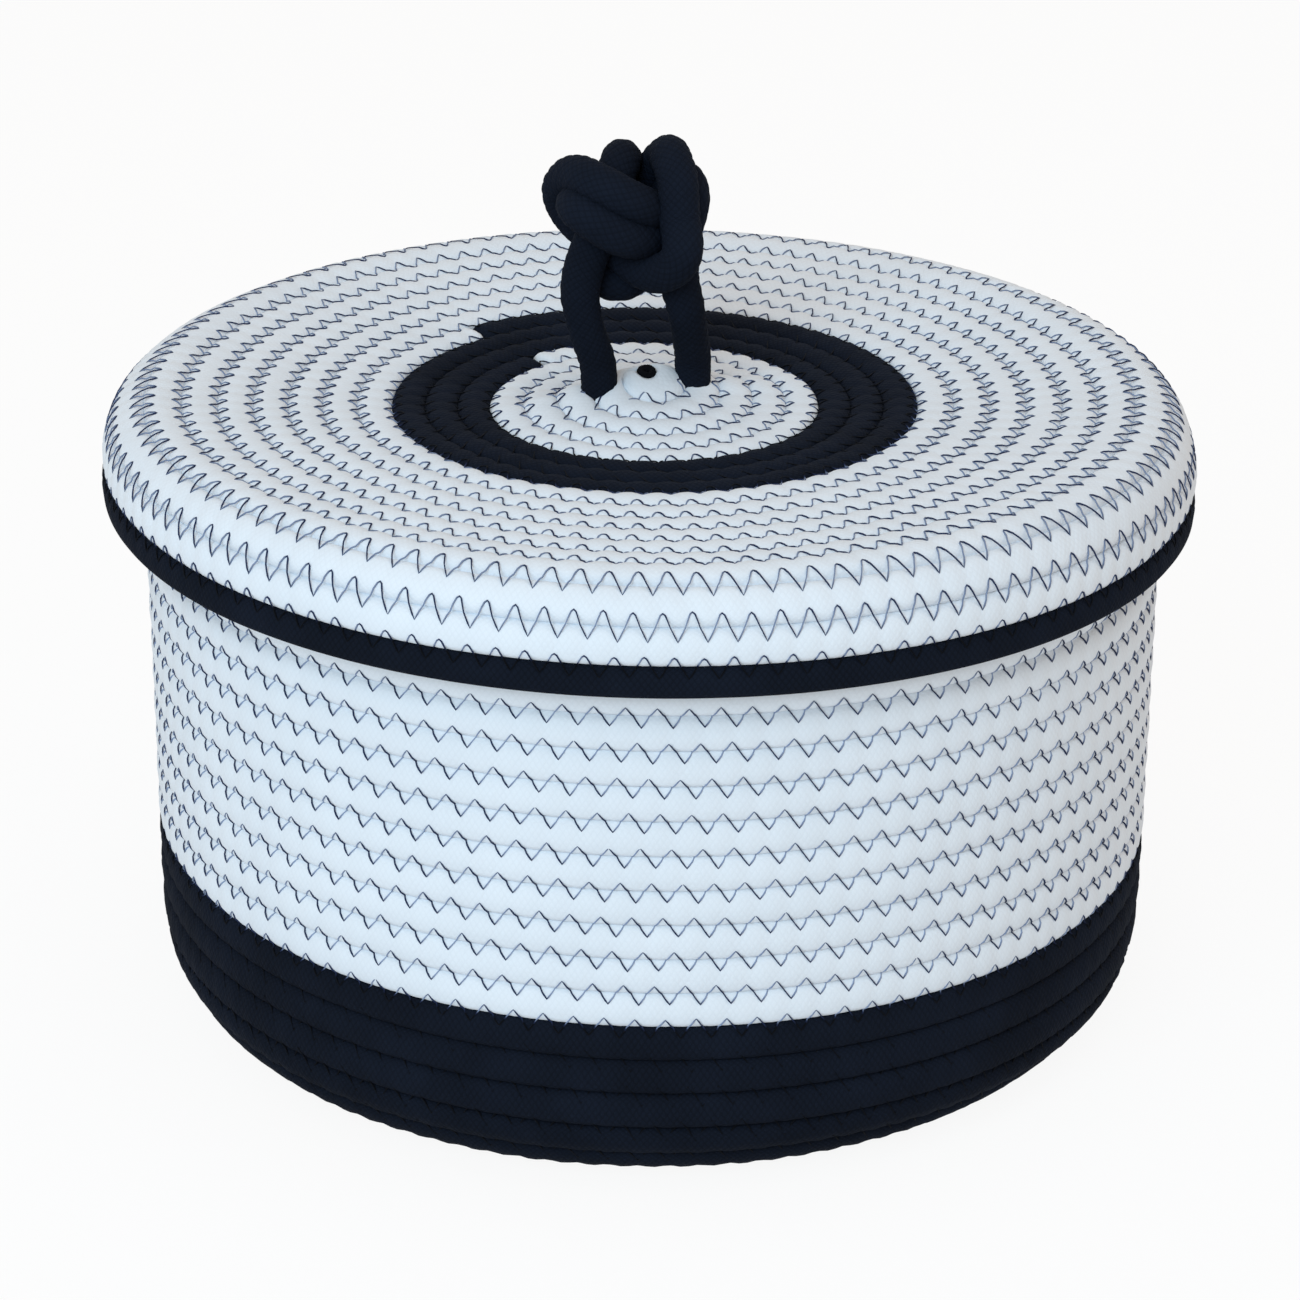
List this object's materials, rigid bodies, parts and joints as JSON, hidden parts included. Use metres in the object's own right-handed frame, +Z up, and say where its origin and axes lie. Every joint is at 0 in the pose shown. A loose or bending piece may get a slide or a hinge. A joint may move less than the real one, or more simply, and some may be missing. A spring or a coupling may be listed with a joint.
{
  "type": "lidded rope basket",
  "caption": "Round basket of sewn cotton rope with a rolled-edge lid that lifts off and a knotted rope handle on top.",
  "frame": {"origin": "on the floor under the middle of the basket's base", "axes": "+Z up along the basket's axis, -Y towards the front, +X to the right as seen from the front"},
  "size_m": [0.3016, 0.3038, 0.2439],
  "materials": {
    "white_cotton": "matt braided cotton",
    "black_cotton": "matt braided cotton"
  },
  "bodies": {
    "basket": {"base_coil": "black_cotton", "lower_band": "black_cotton", "upper_wall": "white_cotton"},
    "lid": {"lid_centre": "white_cotton", "lid_ring": "black_cotton", "lid_top": "white_cotton", "lid_side": "white_cotton", "lid_rim": "black_cotton", "left_tail": "black_cotton", "right_tail": "black_cotton"},
    "handle": {"handle_knot": "black_cotton"}
  },
  "joints": [
    {"name": "lid_lift", "type": "slide", "parent": "basket", "child": "lid", "axis": [0, 0, 1], "range_m": [0, 0.2]},
    {"name": "handle_tip", "type": "hinge", "parent": "lid", "child": "handle", "pos_m": [0, 0, 0.18252], "axis": [0.9613, 0.2756, 0], "range_deg": [-55, 35]}
  ]
}
